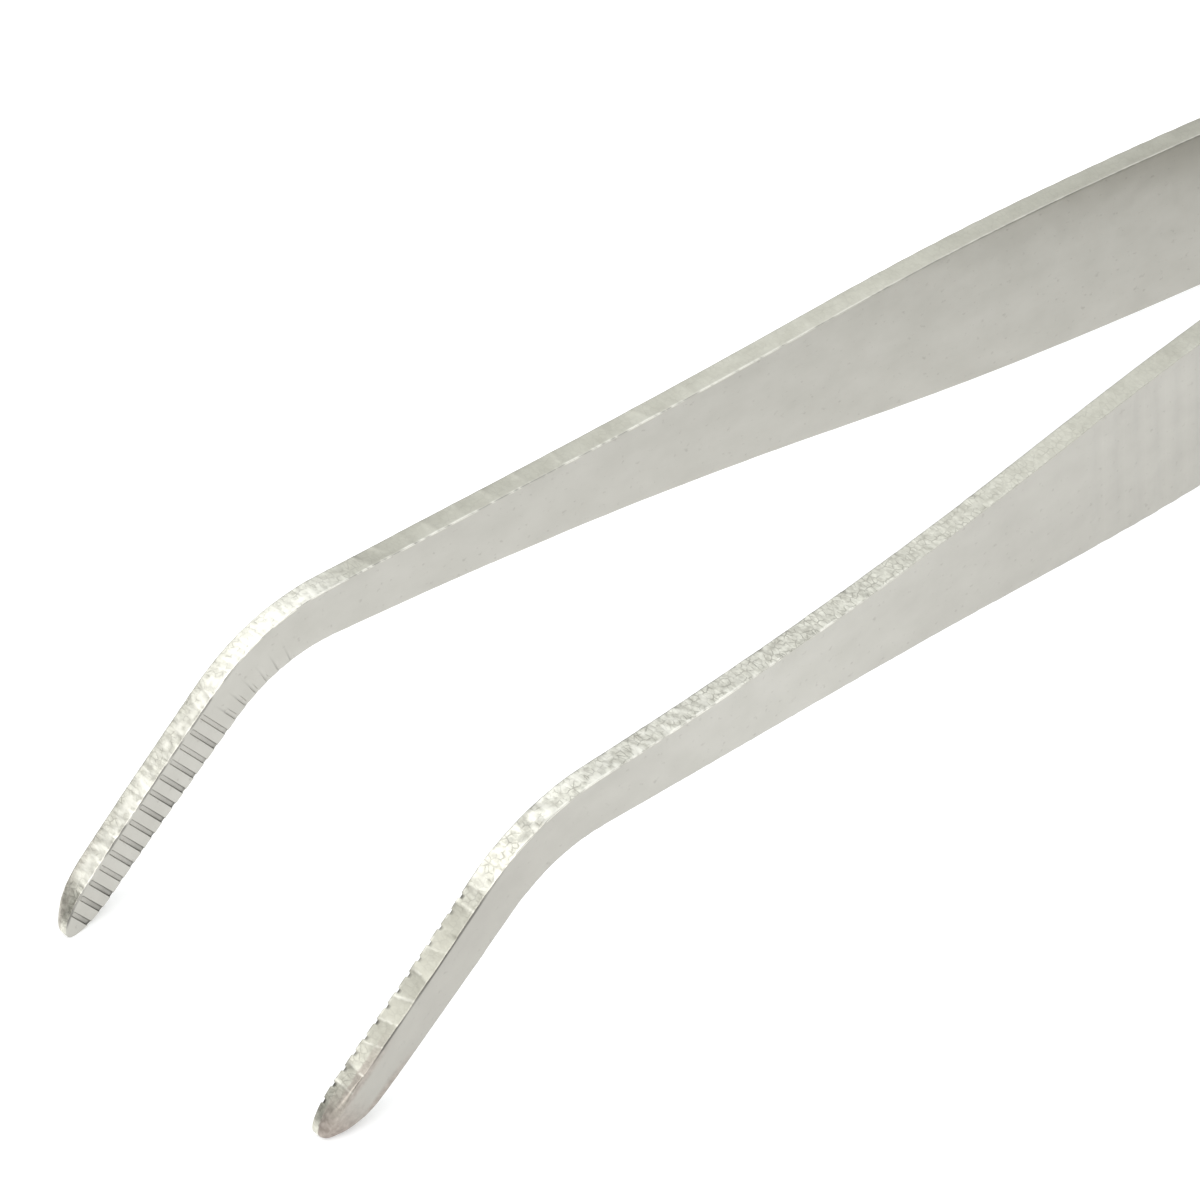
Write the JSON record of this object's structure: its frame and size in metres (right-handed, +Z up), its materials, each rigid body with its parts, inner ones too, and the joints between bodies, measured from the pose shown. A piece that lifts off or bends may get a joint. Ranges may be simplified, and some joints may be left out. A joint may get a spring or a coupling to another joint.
{
  "type": "tweezers",
  "caption": "Spring tweezers of two stamped steel arms welded at the butt, with turned-down serrated jaws, rounded tips and ribbed finger grips.",
  "frame": {"origin": "centre of the bounding box in X and Y, at z = 0 on the table that the two tips and the lower rear corner of the butt stand on", "axes": "+X towards the welded butt, tips towards -X, +Z up, left arm on -Y and right arm on +Y; the shank falls 2.7 degrees towards +X"},
  "size_m": [0.1404, 0.0222, 0.0121],
  "materials": {
    "satin_steel": "satin, softly brushed flats with rough ground edges",
    "weld_metal": "dull fused metal"
  },
  "bodies": {
    "butt": {"left_spring_leaf": "satin_steel", "left_tail_tab": "satin_steel", "right_spring_leaf": "satin_steel", "right_tail_tab": "satin_steel", "front_spot_weld": "weld_metal", "rear_spot_weld": "weld_metal"},
    "left_arm": {"left_arm": "satin_steel"},
    "right_arm": {"right_arm": "satin_steel"}
  },
  "joints": [
    {"name": "left_flex", "type": "hinge", "parent": "butt", "child": "left_arm", "pos_m": [0.03164, -0.0026, 0.00579], "axis": [-0.0473, 0, -0.9989], "range_deg": [-2, 5.41], "stiffness_Nm_per_rad": 6, "deforming": ["left_spring_leaf"]},
    {"name": "right_flex", "type": "hinge", "parent": "butt", "child": "right_arm", "pos_m": [0.03164, 0.0026, 0.00579], "axis": [0.0473, 0, 0.9989], "range_deg": [-2, 5.41], "stiffness_Nm_per_rad": 6, "deforming": ["right_spring_leaf"]}
  ]
}
